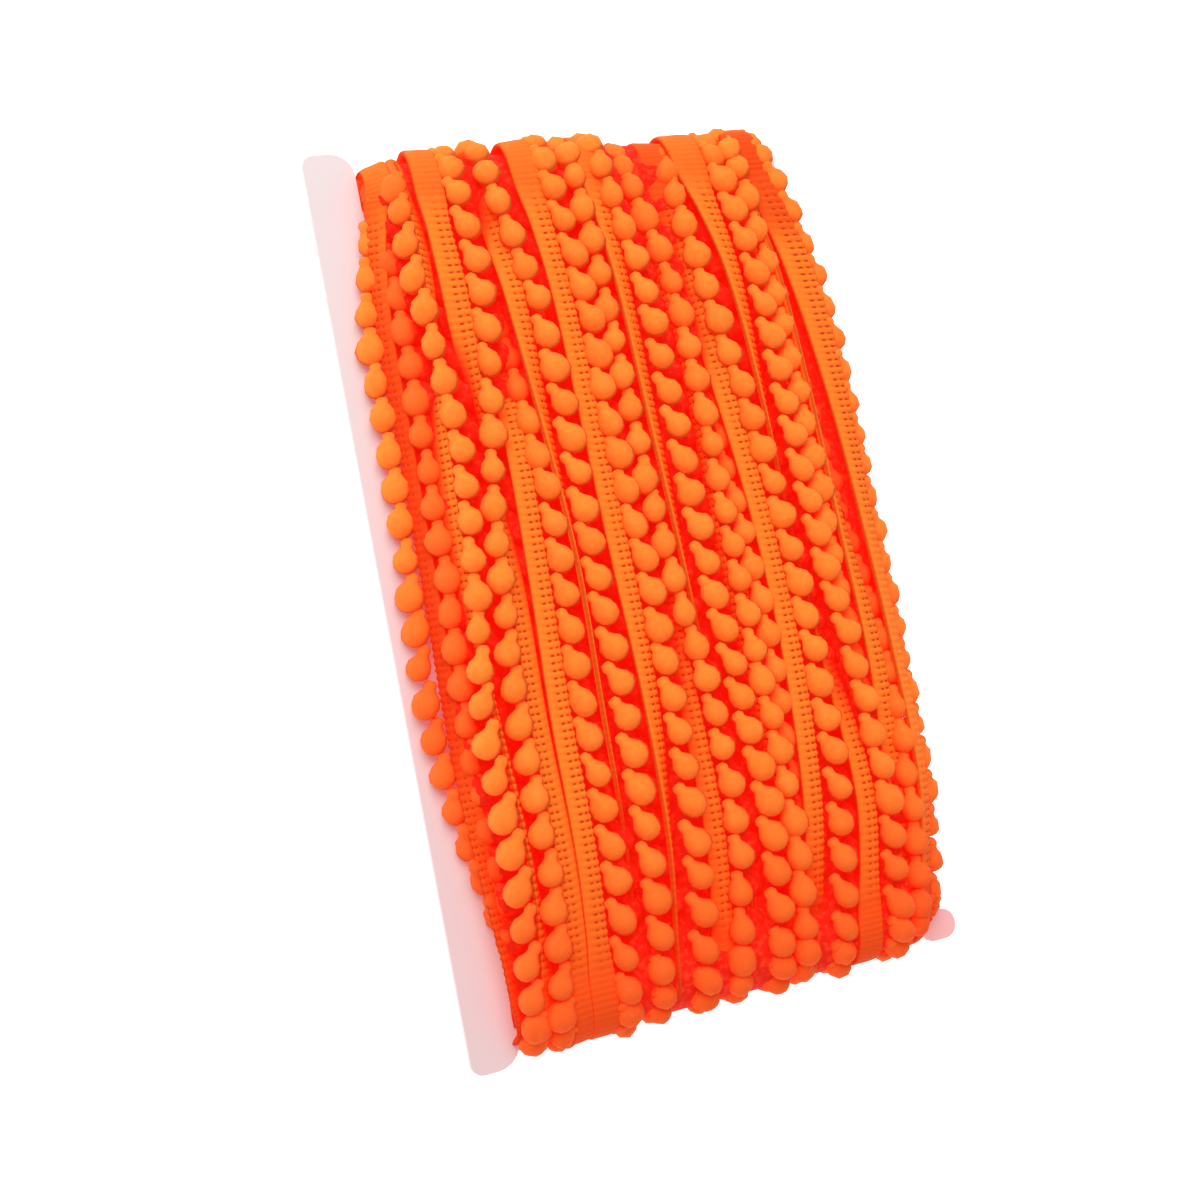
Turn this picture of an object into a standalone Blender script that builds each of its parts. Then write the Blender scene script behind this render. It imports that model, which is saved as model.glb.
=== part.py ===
"""A pompom fringe trim wound on its card, lying on its back.

Two solids: the card, a thin board with an ear at each corner, and the wound trim, one closed
belt round the card whose front carries the pompoms as four-sided locks in rows.

Units are metres. +Z is up and +Y runs along the turns. The origin is on the floor, under the
middle of the object. The belt goes round the card lengthways: over the front, round the bottom
end, along the back and round the top end.
"""

import math
from collections import namedtuple

import bmesh
import bpy
from mathutils import Vector

MM = 0.001

# The card
CARD_LENGTH = 156.0 * MM
CARD_THICK = 1.6 * MM
CARD_LEFT = -46.3 * MM
CARD_RIGHT = 41.4 * MM  # the turns reach past this edge
RECESS_LEFT = -37.6 * MM  # inner edges of the ears, between which the turns pass
LOW_RECESS_RIGHT = 39.0 * MM
HIGH_RECESS_RIGHT = 38.5 * MM
EAR_OUTER_ROUND = 2.0 * MM
LOW_LEFT_INNER_ROUND = 4.5 * MM
HIGH_LEFT_INNER_ROUND = 4.0 * MM
LOW_RIGHT_TIP = 45.0 * MM  # the low right ear sticks out past the turns
LOW_RIGHT_START = -70.6 * MM
LOW_RIGHT_END = -75.8 * MM
LOW_RIGHT_ROUND = 2.4 * MM
HIGH_RIGHT_END = 74.0 * MM  # the high right ear stays under the turns
HIGH_RIGHT_ROUND = 2.0 * MM
SMALL_ROUND = 1.0 * MM
ROUND_STEPS = 5

# The wound trim
PACK_THICK = 24.0 * MM  # from the flat underside to the tops of the pompoms
PACK_STRAIGHT = 65.4 * MM  # half the straight stretch of a turn
PACK_SHIFT_Y = 0.5 * MM
END_POWER = 2.6  # 2 would make the ends half circles, and more makes them squarer
ARC_STEPS = 64  # for measuring the way round an end
CLEARANCE = 0.3 * MM
SLOT_HALF = CARD_THICK / 2 + CLEARANCE
MID_HEIGHT = PACK_THICK / 2
FULL_DEPTH = MID_HEIGHT - SLOT_HALF  # from the slot's wall to the outside of a full lane
RECESS_END = PACK_STRAIGHT + SLOT_HALF - CLEARANCE  # from the pack's middle to the recess's floor

# The pompoms, as locks
PITCH = 6.0 * MM
PITCHES = 25
ZONE_START = -9.6 * MM  # the first lock lies this far round the top end
LOCK_HALF = 2.1 * MM
LOCK_TOP_HALF = 1.2 * MM
LOCK_RISE = 3.2 * MM  # from the tape beside a lock to its top
LOCK_GAP_DEPTH = 4.2 * MM  # from a lock's top to the root between two locks
NARROW_HALF = 0.12 * MM  # a lane where it is hidden under its neighbours
NARROWING = 14.0 * MM

# The tape's ribs on the ends and the back
RIB_RISE = 1.2 * MM
HIDDEN_RIB_RISE = 0.5 * MM
END_ROWS = 5
BACK_ROWS = 9

# A lane is one turn's row of pompoms. Its x is given at five heights of the card, from the top
# end to the bottom end, and is the same on the front and the back. depth is the lane's thickness
# over the card, first and last are the y of its first and last pompom, and phase is its pompoms'
# shift along the turn, in pitches. All but phase are in millimetres.
HEIGHTS = (72.0, 36.0, 0.0, -36.0, -72.0)
Lane = namedtuple("Lane", "top upper middle lower bottom depth first last phase")
LANES = (
    Lane(-36.20, -42.2, -42.8, -41.5, -36.6, 4.5, 56.0, -46.0, 0.10),
    Lane(-35.90, -36.2, -37.0, -38.3, -36.3, 7.5, 56.0, -11.0, 0.00),
    Lane(-35.00, -31.7, -32.2, -35.3, -35.4, 10.9, 71.0, -72.0, 0.30),
    Lane(-24.30, -23.7, -28.3, -29.4, -30.9, 10.9, 71.0, -72.0, 0.10),
    Lane(-21.20, -19.0, -17.0, -18.1, -21.3, 10.5, 24.0, -68.0, 0.40),
    Lane(-17.90, -12.1, -11.8, -11.5, -12.5, 10.9, 71.0, -72.0, 0.00),
    Lane(-6.80, -4.4, -2.6, -2.7, -5.5, 10.7, 71.0, -72.0, 0.25),
    Lane(-1.60, -0.1, 2.1, 4.6, 1.2, 10.1, 71.0, -72.0, 0.05),
    Lane(3.90, 7.4, 8.6, 9.8, 7.3, 10.9, 71.0, -72.0, 0.30),
    Lane(8.90, 13.2, 14.1, 14.5, 12.0, 10.3, 71.0, -72.0, 0.10),
    Lane(14.30, 19.9, 24.2, 24.2, 19.8, 10.7, 71.0, -72.0, 0.35),
    Lane(25.30, 29.4, 30.5, 32.3, 30.0, 10.9, 71.0, -72.0, 0.15),
    Lane(31.80, 34.7, 36.4, 38.8, 35.5, 8.0, 66.0, -63.0, 0.40),
    Lane(36.40, 43.0, 43.8, 43.7, 36.4, 4.5, 62.0, -62.0, 0.20),
)


def rounded_outline(corners):
    """The points of an outline of right angles whose corners (x, y, radius) are rounded by arcs."""
    points = []
    for i, (x, y, radius) in enumerate(corners):
        corner = Vector((x, y))
        to_last = (Vector(corners[i - 1][:2]) - corner).normalized()
        to_next = (Vector(corners[(i + 1) % len(corners)][:2]) - corner).normalized()
        for step in range(ROUND_STEPS + 1):
            angle = step / ROUND_STEPS * math.pi / 2
            share_last = 1 - math.sin(angle)
            share_next = 1 - math.cos(angle)
            points.append(corner + radius * (share_last * to_last + share_next * to_next))
    return points


def card_corners():
    """The card's corners anticlockwise from the bottom left, with the radius of each."""
    end = CARD_LENGTH / 2
    low = PACK_SHIFT_Y - RECESS_END
    high = PACK_SHIFT_Y + RECESS_END
    return [
        (CARD_LEFT, -end, EAR_OUTER_ROUND),
        (RECESS_LEFT, -end, LOW_LEFT_INNER_ROUND),
        (RECESS_LEFT, low, SMALL_ROUND),
        (LOW_RECESS_RIGHT, low, SMALL_ROUND),
        (LOW_RECESS_RIGHT, LOW_RIGHT_END, SMALL_ROUND),
        (LOW_RIGHT_TIP, LOW_RIGHT_END, LOW_RIGHT_ROUND),
        (LOW_RIGHT_TIP, LOW_RIGHT_START, LOW_RIGHT_ROUND),
        (CARD_RIGHT, LOW_RIGHT_START, SMALL_ROUND),
        (CARD_RIGHT, HIGH_RIGHT_END, HIGH_RIGHT_ROUND),
        (HIGH_RECESS_RIGHT, HIGH_RIGHT_END, SMALL_ROUND / 2),
        (HIGH_RECESS_RIGHT, high, SMALL_ROUND),
        (RECESS_LEFT, high, SMALL_ROUND),
        (RECESS_LEFT, end, HIGH_LEFT_INNER_ROUND),
        (CARD_LEFT, end, EAR_OUTER_ROUND),
    ]


def end_point(angle, depth):
    """A point (y, z) round an end, from the end's centre, at an angle from the front."""
    reach = SLOT_HALF + depth
    across = abs(math.cos(angle)) ** (2 / END_POWER)
    outwards = abs(math.sin(angle)) ** (2 / END_POWER)
    return reach * outwards, math.copysign(reach * across, math.cos(angle))


def end_arc_length():
    """The length of a full lane's way round one end."""
    points = [end_point(math.pi * i / ARC_STEPS, FULL_DEPTH) for i in range(ARC_STEPS + 1)]
    return sum(math.dist(a, b) for a, b in zip(points, points[1:]))


END_ARC = end_arc_length()
STRAIGHT = 2 * PACK_STRAIGHT
TURN = 2 * (STRAIGHT + END_ARC)


def turn_point(along, depth):
    """The point (y, z) at a distance along a turn and a depth over the slot's wall.

    A turn starts at the front's top end, goes down the front and comes back along the back.
    """
    along %= TURN
    if along < STRAIGHT:
        y = PACK_STRAIGHT - along
        z = SLOT_HALF + depth
    elif along < STRAIGHT + END_ARC:
        y, z = end_point(math.pi * (along - STRAIGHT) / END_ARC, depth)
        y = -PACK_STRAIGHT - y
    elif along < TURN - END_ARC:
        y = along - STRAIGHT - END_ARC - PACK_STRAIGHT
        z = -SLOT_HALF - depth
    else:
        y, z = end_point(math.pi * (TURN - along) / END_ARC, depth)
        y += PACK_STRAIGHT
    return y + PACK_SHIFT_Y, z + MID_HEIGHT


def lane_middle(lane, y):
    """The lane's x at a height y: a smooth curve (Catmull-Rom) through its five values."""
    values = [lane.top, lane.upper, lane.middle, lane.lower, lane.bottom]
    last = len(values) - 1
    place = (HEIGHTS[0] * MM - y) / ((HEIGHTS[0] - HEIGHTS[1]) * MM)
    place = min(max(place, 0.0), last)
    i = min(int(place), last - 1)
    t = place - i
    p1, p2 = values[i], values[i + 1]
    p0 = values[i - 1] if i > 0 else 2 * p1 - p2
    p3 = values[i + 2] if i + 2 <= last else 2 * p2 - p1
    square = 2 * p0 - 5 * p1 + 4 * p2 - p3
    cube = 3 * p1 - p0 - 3 * p2 + p3
    return MM * (p1 + 0.5 * ((p2 - p0) * t + square * t**2 + cube * t**3))


def width_share(lane, y):
    """1 along the lane's pompoms, falling to 0 where it is hidden under its neighbours."""
    beyond = max(y - lane.first * MM, lane.last * MM - y, 0.0)
    return max(1 - beyond / NARROWING, 0.0)


# A row is one cross-section of the belt: how far along the turn it lies, and what it cuts.
Row = namedtuple("Row", "along kind")


def belt_rows():
    """Every row once round the turn: the pompoms' zone, the bottom end, the back, the top end."""
    rows = []
    for i in range(2 * PITCHES + 1):
        rows.append(Row(ZONE_START + i * PITCH / 2, "lock" if i % 2 else "gap"))
    stops = [
        (rows[-1].along, STRAIGHT + END_ARC, END_ROWS),
        (STRAIGHT + END_ARC, TURN - END_ARC, BACK_ROWS),
        (TURN - END_ARC, TURN + ZONE_START, END_ROWS),
    ]
    for start, end, count in stops:
        for i in range(count):
            share = (i + 0.5) / count
            rows.append(Row(start + share * (end - start), "rib"))
    return rows


def lane_section(lane, row):
    """The lane's four points at a row, from left to right."""
    along = row.along + lane.phase * PITCH
    depth = lane.depth * MM
    y, _ = turn_point(along, depth)
    share = width_share(lane, y)
    half = NARROW_HALF + (LOCK_HALF - NARROW_HALF) * share
    top_half = half * LOCK_TOP_HALF / LOCK_HALF
    if row.kind == "rib":
        side = depth - RIB_RISE
        top = depth
    elif lane.last * MM <= y <= lane.first * MM:
        side = depth - LOCK_RISE
        top = depth if row.kind == "lock" else depth - LOCK_GAP_DEPTH
    else:
        side = depth - LOCK_RISE
        top = side + HIDDEN_RIB_RISE
    middle = lane_middle(lane, y)
    points = []
    for x, level in ((-half, side), (-top_half, top), (top_half, top), (half, side)):
        point_y, point_z = turn_point(along, level)
        points.append((middle + x, point_y, point_z))
    return points


def belt_section(row):
    """One closed cross-section of the belt: the slot's wall, then the lanes from left to right."""
    y, z = turn_point(row.along, 0.0)
    outside = [point for lane in LANES for point in lane_section(lane, row)]
    left = outside[0][0]
    right = outside[-1][0]
    middle = (left + right) / 2
    return [(right, y, z), (middle, y, z), (left, y, z)] + outside


def new_object(name, mesh, material):
    """Turns a bmesh with its faces outwards into a named object."""
    bmesh.ops.recalc_face_normals(mesh, faces=mesh.faces)
    data = bpy.data.meshes.new(name)
    mesh.to_mesh(data)
    mesh.free()
    data.materials.append(material)
    obj = bpy.data.objects.new(name, data)
    bpy.context.scene.collection.objects.link(obj)
    return obj


def new_material(name, colour, roughness):
    """A plain Principled material."""
    material = bpy.data.materials.new(name)
    material.use_nodes = True
    shader = material.node_tree.nodes["Principled BSDF"]
    shader.inputs["Base Color"].default_value = (*colour, 1.0)
    shader.inputs["Roughness"].default_value = roughness
    shader.inputs["Metallic"].default_value = 0.0
    return material


def build_card():
    """The card: its outline, extruded to the card's thickness about the mid height."""
    mesh = bmesh.new()
    low = MID_HEIGHT - CARD_THICK / 2
    outline = [mesh.verts.new((x, y, low)) for x, y in rounded_outline(card_corners())]
    face = mesh.faces.new(outline)
    upper = bmesh.ops.extrude_face_region(mesh, geom=[face])
    raised = [item for item in upper["geom"] if isinstance(item, bmesh.types.BMVert)]
    bmesh.ops.translate(mesh, verts=raised, vec=(0.0, 0.0, CARD_THICK))
    return new_object("card", mesh, new_material("card_board", (0.87, 0.85, 0.85), 0.6))


def build_wound_trim():
    """The wound trim: its cross-sections, joined row to row into one closed belt."""
    mesh = bmesh.new()
    rings = [[mesh.verts.new(point) for point in belt_section(row)] for row in belt_rows()]
    for ring, following in zip(rings, rings[1:] + rings[:1]):
        for i in range(len(ring)):
            j = (i + 1) % len(ring)
            mesh.faces.new((ring[i], ring[j], following[j], following[i]))
    bmesh.ops.triangulate(mesh, faces=mesh.faces)
    return new_object("wound_trim", mesh, new_material("neon_yarn", (1.0, 0.27, 0.03), 0.9))


def main():
    for obj in list(bpy.data.objects):
        bpy.data.objects.remove(obj, do_unlink=True)
    build_card()
    build_wound_trim()


main()
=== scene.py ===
# %% [markdown]
# # A pompom fringe trim wound on a card
# The object is one long trim, a narrow woven tape with small yarn pompoms along one edge, wound
# lengthways round a white card. The card comes ready from the frame. This lesson makes the trim:
# it lays out the way of every turn, bends a ribbed tape along it, hangs the pompoms on its edge
# and gives yarn and card their finish.

# %% Load the frame
import math
from collections import namedtuple

import bmesh
import bpy
import numpy as np
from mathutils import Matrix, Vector


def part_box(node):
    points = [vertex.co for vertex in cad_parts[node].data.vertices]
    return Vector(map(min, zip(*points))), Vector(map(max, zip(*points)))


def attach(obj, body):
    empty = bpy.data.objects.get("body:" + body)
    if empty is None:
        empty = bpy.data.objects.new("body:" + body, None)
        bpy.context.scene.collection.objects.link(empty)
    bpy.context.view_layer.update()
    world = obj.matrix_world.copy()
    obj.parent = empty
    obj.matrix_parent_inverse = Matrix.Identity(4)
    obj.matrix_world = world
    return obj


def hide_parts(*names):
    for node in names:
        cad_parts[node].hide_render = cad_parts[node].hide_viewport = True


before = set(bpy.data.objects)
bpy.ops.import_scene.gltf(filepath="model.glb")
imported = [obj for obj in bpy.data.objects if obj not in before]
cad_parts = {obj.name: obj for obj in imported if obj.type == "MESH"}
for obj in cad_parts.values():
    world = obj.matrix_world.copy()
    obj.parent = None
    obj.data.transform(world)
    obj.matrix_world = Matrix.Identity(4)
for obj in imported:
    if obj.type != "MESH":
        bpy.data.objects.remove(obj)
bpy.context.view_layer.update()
MM = 0.001

# %% [markdown]
# The card is a thin board that lies at mid height. The turns start 0.3 mm off its faces, go
# over the front, round the bottom end, along the back and round the top end. The winding's
# heights are worked out from the two solids of the frame. The length of its straight stretch
# and the shape of its ends are given.

# %% The winding's own sizes
card_low, card_high = (Vector(corner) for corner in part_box("card"))
trim_low, trim_high = (Vector(corner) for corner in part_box("wound_trim"))
CLEARANCE = 0.3 * MM
MID_HEIGHT = (trim_low.z + trim_high.z) / 2
SLOT_HALF = (card_high.z - card_low.z) / 2 + CLEARANCE
FULL_DEPTH = trim_high.z - MID_HEIGHT - SLOT_HALF
PACK_STRAIGHT = 66.2 * MM  # half the straight stretch of a turn
PACK_MIDDLE_Y = 0.3 * MM
END_POWER = 2.6  # 2 would make the ends half circles, and more makes them squarer
ARC_POINTS = 129


def end_point(angle, depth):
    """(y, z) round an end, from the end's centre, at an angle from the front."""
    reach = SLOT_HALF + depth
    across = np.abs(np.cos(angle)) ** (2 / END_POWER)
    outwards = np.abs(np.sin(angle)) ** (2 / END_POWER)
    return reach * outwards, reach * across * np.sign(np.cos(angle))


ARC_ANGLES = math.pi * (1 - np.cos(np.linspace(0, math.pi, ARC_POINTS))) / 2
arc_y, arc_z = end_point(ARC_ANGLES, FULL_DEPTH)
END_ARC = float(np.sum(np.hypot(np.diff(arc_y), np.diff(arc_z))))
STRAIGHT = 2 * PACK_STRAIGHT
TURN = 2 * (STRAIGHT + END_ARC)
arc_way = np.concatenate([[0], np.cumsum(np.hypot(np.diff(arc_y), np.diff(arc_z)))])
print("one turn is", round(TURN / MM, 1), "mm long")

# %% [markdown]
# A point of the winding is found from two numbers: how far along the turn it lies, and how high
# over the card. From the front's top end a turn runs down the front, round the bottom end, up
# the back and round the top end. A curve object could carry the trim too, but this formula
# serves every layer of the winding.


# %% From a distance along a turn to a point
def turn_point(along, depth):
    """(y, z) at distances along a turn, from the front's top end, and depths over the card."""
    along = np.mod(along, TURN)
    back_start = STRAIGHT + END_ARC
    back_end = TURN - END_ARC
    bottom_y, bottom_z = end_point(np.interp(along - STRAIGHT, arc_way, ARC_ANGLES), depth)
    top_y, top_z = end_point(np.interp(TURN - along, arc_way, ARC_ANGLES), depth)
    stretches = [along < STRAIGHT, along < back_start, along < back_end]
    y = np.select(
        stretches,
        [PACK_STRAIGHT - along, -PACK_STRAIGHT - bottom_y, along - back_start - PACK_STRAIGHT],
        PACK_STRAIGHT + top_y,
    )
    z = np.select(stretches, [SLOT_HALF + depth, bottom_z, -SLOT_HALF - depth], top_z)
    return y + PACK_MIDDLE_Y, z + MID_HEIGHT


low_y, low_z = turn_point(np.array([STRAIGHT + END_ARC / 2]), FULL_DEPTH)
print("the bottom end reaches y", round(low_y[0] / MM, 1), "mm, at z", round(low_z[0] / MM, 1))

# %% [markdown]
# A turn of the trim is not straight. It bows, slides under its neighbour, stands on edge or
# flips over, and that unevenness is what makes the winding look real. Sixteen curves drawn by
# hand would be hard to keep apart, so each turn's way is a few short rows of values at seven
# places down the front: where the pompoms are, where the tape is,
# how far the tape is tilted, how deep the pompoms lie under the front, how much higher than
# usual the tape lies and how much wider it spreads. Tilts are in degrees and the rest in
# millimetres. A tilt of 0 is a flat tape with its pompoms to the right, at 90 they are on top,
# and at 180 they are to the left.

# %% The turns, from left to right
FRONT_PLACES = (-7.0, 17.5, 42.0, 66.0, 90.0, 114.0, 138.0)  # mm from the front's top end
Turn = namedtuple("Turn", "pompoms tape tilt depth lift spread")
LEVEL = (0, 0, 0, 0, 0, 0, 0)
TURNS = (
    Turn(
        (-33.2, -40.2, -41.0, -42.2, -42.9, -39.0, -34.0),
        (-35.2, -38.2, -38.5, -38.9, -39.3, -38.6, -37.2),
        (198, 202, 205, 208, 205, 150, 140),
        (8.8, 9.1, 9.1, 9.1, 9.1, 9.6, 9.8),
        (3.7, 2.6, 2.2, 2.2, 2.2, 4.6, 5.2),
        (0.0, -0.8, -1.0, -1.0, -0.8, 0.0, 0.0),
    ),
    Turn(
        (-35.2, -35.1, -35.7, -36.5, -37.4, -37.2, -36.2),
        (-34.2, -34.0, -34.4, -35.0, -36.0, -36.0, -35.4),
        (130, 125, 115, 115, 115, 120, 120),
        (8.4, 6.8, 6.3, 6.3, 7.0, 8.0, 8.8),
        LEVEL,
        LEVEL,
    ),
    Turn(
        (-33.0, -32.6, -30.4, -32.4, -35.8, -35.2, -36.2),
        (-30.2, -30.4, -33.2, -34.0, -32.9, -32.1, -32.9),
        (125, 120, 50, 55, 105, 110, 140),
        (5.6, 3.0, 2.6, 2.6, 2.4, 2.4, 3.4),
        (1.5, 1.6, 0.0, 0.0, 1.6, 1.6, 0.4),
        LEVEL,
    ),
    Turn(
        (-22.8, -21.6, -24.9, -28.3, -29.9, -29.5, -31.6),
        (-27.4, -26.4, -25.4, -25.4, -26.2, -26.2, -27.6),
        (0, 5, 90, 145, 158, 165, 172),
        (3.2, 2.4, 2.4, 2.4, 2.4, 2.4, 2.6),
        LEVEL,
        (0.3, 0.8, 0.0, 0.0, 0.0, 0.0, 0.0),
    ),
    Turn(
        (-20.0, -18.6, -17.6, -17.4, -18.6, -18.3, -20.2),
        (-21.0, -20.0, -20.9, -21.5, -22.5, -22.8, -24.4),
        (60, 40, 10, 0, 0, 0, 0),
        (9.5, 10.0, 4.0, 2.8, 2.6, 2.6, 2.8),
        (0.0, -1.6, 0.8, 0.0, 0.0, 0.0, 0.0),
        LEVEL,
    ),
    Turn(
        (-17.4, -13.0, -11.5, -11.7, -11.4, -12.0, -14.2),
        (-18.6, -16.4, -15.2, -14.4, -14.8, -14.6, -16.4),
        (60, 0, -50, -72, -72, -72, -60),
        (2.8, 2.4, 2.4, 2.4, 2.4, 2.4, 2.8),
        (-1.5, 0.0, 0.0, 0.0, -0.8, -3.6, -4.0),
        LEVEL,
    ),
    Turn(
        (-6.4, -4.0, -3.8, -3.1, -2.7, -3.6, -6.2),
        (-10.2, -8.0, -7.3, -6.8, -6.5, -7.4, -10.0),
        (5, 0, 0, 0, -25, -62, -62),
        (2.6, 2.6, 2.6, 2.6, 2.6, 2.6, 2.8),
        (0.0, 0.0, 0.0, 0.0, 0.0, -1.6, -2.4),
        (0.6, 0.0, 0.0, 0.0, 0.0, 0.0, 0.0),
    ),
    Turn(
        (-1.8, -0.4, 0.1, 1.3, 3.9, 4.1, 0.2),
        (-0.6, 0.6, 1.2, 1.4, 0.8, 0.6, -2.2),
        (100, 100, 100, 75, 20, 10, 10),
        (3.4, 3.2, 3.2, 3.0, 2.8, 2.8, 3.0),
        (0.0, 0.0, 0.0, -0.6, -1.3, -1.1, -1.1),
        LEVEL,
    ),
    Turn(
        (3.2, 6.9, 7.7, 8.2, 9.2, 10.3, 7.4),
        (1.6, 3.4, 3.9, 4.8, 6.2, 7.0, 4.8),
        (0, -30, -45, -60, -70, -65, -60),
        (2.8, 2.4, 2.4, 2.4, 2.4, 2.4, 2.8),
        (0.0, 0.0, 0.0, -1.2, -4.2, -4.2, -3.4),
        LEVEL,
    ),
    Turn(
        (8.4, 12.8, 13.8, 13.7, 13.9, 14.7, 12.4),
        (7.6, 11.8, 12.8, 12.2, 12.6, 13.4, 11.2),
        (80, 80, 80, 80, 75, 75, 60),
        (5.4, 4.8, 3.4, 2.8, 2.8, 3.0, 3.2),
        (1.2, 1.2, 0.3, 0.0, 0.0, 0.0, 0.0),
        LEVEL,
    ),
    Turn(
        (12.5, 14.5, 16.2, 17.0, 17.2, 16.4, 13.5),
        (10.0, 12.0, 13.6, 14.2, 14.4, 13.6, 10.8),
        (20, 20, 20, 20, 20, 20, 20),
        (8.5, 8.8, 7.5, 4.2, 4.2, 7.8, 8.5),
        (-1.0, -1.0, -1.0, -1.0, -1.0, -1.0, -1.0),
        LEVEL,
    ),
    Turn(
        (16.6, 18.2, 21.8, 24.2, 24.5, 23.5, 19.6),
        (14.8, 16.4, 18.6, 20.2, 20.4, 18.9, 14.8),
        (0, 60, 15, 0, 0, 0, 0),
        (5.6, 2.8, 2.6, 2.6, 2.6, 2.6, 2.8),
        (1.0, 0.0, 0.0, 0.0, 0.0, -1.0, -2.8),
        (0.8, 0.0, 0.0, 0.0, 0.0, 0.0, 0.0),
    ),
    Turn(
        (25.8, 28.6, 29.3, 29.9, 31.7, 32.7, 30.4),
        (20.2, 24.4, 25.8, 26.9, 28.2, 28.8, 24.6),
        (0, -25, -58, -78, -25, 0, 0),
        (4.6, 2.4, 2.4, 2.4, 2.4, 2.4, 2.8),
        (1.0, 0.0, -1.0, -3.8, -2.4, -0.6, -0.6),
        (1.4, 0.4, 0.0, 0.0, 0.0, 0.0, 0.0),
    ),
    Turn(
        (29.0, 31.6, 32.3, 32.7, 33.6, 34.7, 32.4),
        (28.4, 30.8, 31.5, 31.8, 32.3, 33.4, 31.2),
        (50, 50, 50, 50, 50, 50, 50),
        (3.8, 3.6, 3.8, 4.2, 6.5, 8.0, 8.0),
        LEVEL,
        LEVEL,
    ),
    Turn(
        (31.4, 33.8, 36.0, 38.2, 39.4, 38.4, 35.2),
        (30.2, 32.9, 34.4, 35.6, 36.6, 36.0, 33.6),
        (-80, -80, -75, -45, -15, 0, 0),
        (5.8, 9.0, 9.0, 8.8, 6.2, 4.8, 5.0),
        (0.4, 6.4, 6.4, 5.6, 3.0, -0.8, -2.0),
        LEVEL,
    ),
    Turn(
        (35.2, 42.6, 43.9, 44.2, 44.0, 43.5, 39.3),
        (31.6, 38.4, 41.0, 41.3, 41.3, 40.8, 36.4),
        (0, -5, -12, -30, -38, -38, -34),
        (5.0, 7.8, 8.8, 9.0, 9.0, 9.0, 8.8),
        (1.4, 3.2, 4.0, 4.8, 5.4, 5.4, 3.6),
        (1.4, 2.4, 1.2, 0.4, 0.2, 0.0, 0.0),
    ),
)
print("turns:", len(TURNS))

# %% [markdown]
# A turn doesn't close on itself: from the bottom of one it passes along the back to the top of
# the next, so the whole winding is one helix. A smooth curve through the places gives every
# value at any distance along the trim. It is a cubic Hermite curve whose slope at a place is
# that of the line between its two neighbours. Straight lines would show as kinks in the tape.

# %% One smooth course through all the turns
BACK_PLACES = (159.0, 195.0, 237.0, 279.0, 316.0)  # mm from the front's top end
BACK_BULGE = 0.13  # how much wider the back is at its middle than at its ends
BACK_DEEPER = 0.35  # mm that the pompoms lie deeper than on the front, so they clear the floor
BACK_WANDER = 0.5  # mm to either side
WANDER_BY_TURN = 2.4  # radians from one turn to the next, so that neighbours wander apart
WANDER_BY_SHARE = 5  # radians from the bottom of the back to its top


def back_values(before, after, number):
    """The values along the back, from the bottom of one turn to the top of the next."""
    rows = []
    turned = (after.tilt[0] - before.tilt[-1] + 180) % 360 - 180
    for place in BACK_PLACES:
        share = (place - BACK_PLACES[0]) / (BACK_PLACES[-1] - BACK_PLACES[0])
        wide = 1 + BACK_BULGE * math.sin(math.pi * share)
        wave = math.sin(WANDER_BY_TURN * number + WANDER_BY_SHARE * share)
        wander = BACK_WANDER * math.sin(math.pi * share) * wave
        pompoms = before.pompoms[-1] + share * (after.pompoms[0] - before.pompoms[-1])
        tape = before.tape[-1] + share * (after.tape[0] - before.tape[-1])
        depth = before.depth[-1] + share * (after.depth[0] - before.depth[-1]) + BACK_DEEPER
        tilt = before.tilt[-1] + share * turned
        lift = before.lift[-1] + share * (after.lift[0] - before.lift[-1])
        pompoms = pompoms * wide + wander
        rows.append((place, pompoms, tape * wide + wander, tilt, depth, lift, 0.0))
    return rows, before.tilt[-1] + turned - after.tilt[0]


def course_places():
    """Rows of a distance and the six values there, from the first turn to the last."""
    rows = []
    flips = 0.0
    for number, turn in enumerate(TURNS):
        start = number * TURN / MM
        for place, pompoms, tape, tilt, *others in zip(FRONT_PLACES, *turn):
            rows.append((start + place, pompoms, tape, tilt + flips, *others))
        if number + 1 < len(TURNS):
            back, extra = back_values(turn, TURNS[number + 1], number)
            for place, pompoms, tape, tilt, *others in back:
                rows.append((start + place, pompoms, tape, tilt + flips, *others))
            flips += extra
    return np.array(rows)


COURSE = course_places()
PLACE, POMPOMS, TAPE, TILT, DEPTH, LIFT, SPREAD = range(7)  # its columns
print("places along the course:", len(COURSE))


def course_value(column, along):
    """The values of a column at distances along the trim, which are in millimetres."""
    places = COURSE[:, PLACE]
    values = COURSE[:, column]
    slopes = np.gradient(values, places)
    i = np.clip(np.searchsorted(places, along) - 1, 0, len(places) - 2)
    span = places[i + 1] - places[i]
    t = np.clip((along - places[i]) / span, 0, 1)
    start = values[i] * (1 + 2 * t) + slopes[i] * span * t
    end = values[i + 1] * (3 - 2 * t) - slopes[i + 1] * span * (1 - t)
    return start * (1 - t) ** 2 + end * t**2


# %% [markdown]
# The tape and the pompoms share one course but not one height. A tape on edge, or under its own
# pompoms, sinks between the rows, and round the ends of the card it is drawn taut and comes up
# between them again. Both heights are worked out along the trim, and so is where it is taut.

# %% Heights along the trim
TAPE_HALF_WIDTH = 1.9  # mm
UNDER_POMPOMS = (0.6, 2.4, 0.7)  # mm: flat, more with the pompoms on top, more with them below
END_RISE = 1.9  # mm that the taut tape comes up between the pompoms on the ends
TAUT_STRETCH = (-2.0, 7.0)  # mm off an end's arc: taut within the first, slack from the second


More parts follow.
